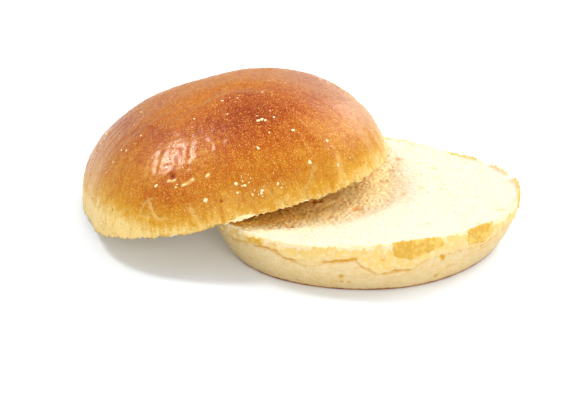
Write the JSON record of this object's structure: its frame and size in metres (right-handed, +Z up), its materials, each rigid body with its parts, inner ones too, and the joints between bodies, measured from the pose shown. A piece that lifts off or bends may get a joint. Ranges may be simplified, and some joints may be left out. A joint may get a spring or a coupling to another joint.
{
  "type": "bread roll",
  "caption": "Round soft bread roll cut across, its glazed domed crown leaning on the flat pale heel.",
  "frame": {"origin": "middle of the roll's box, on the table under both halves", "axes": "+Z up, +X towards the heel from the crown's low side, +Y away from the open side of the heel"},
  "size_m": [0.1504, 0.1246, 0.0512],
  "materials": {
    "crust": "satin",
    "crumb": "matte"
  },
  "bodies": {
    "root": {"crown": "crust", "heel": "crumb"}
  },
  "joints": []
}
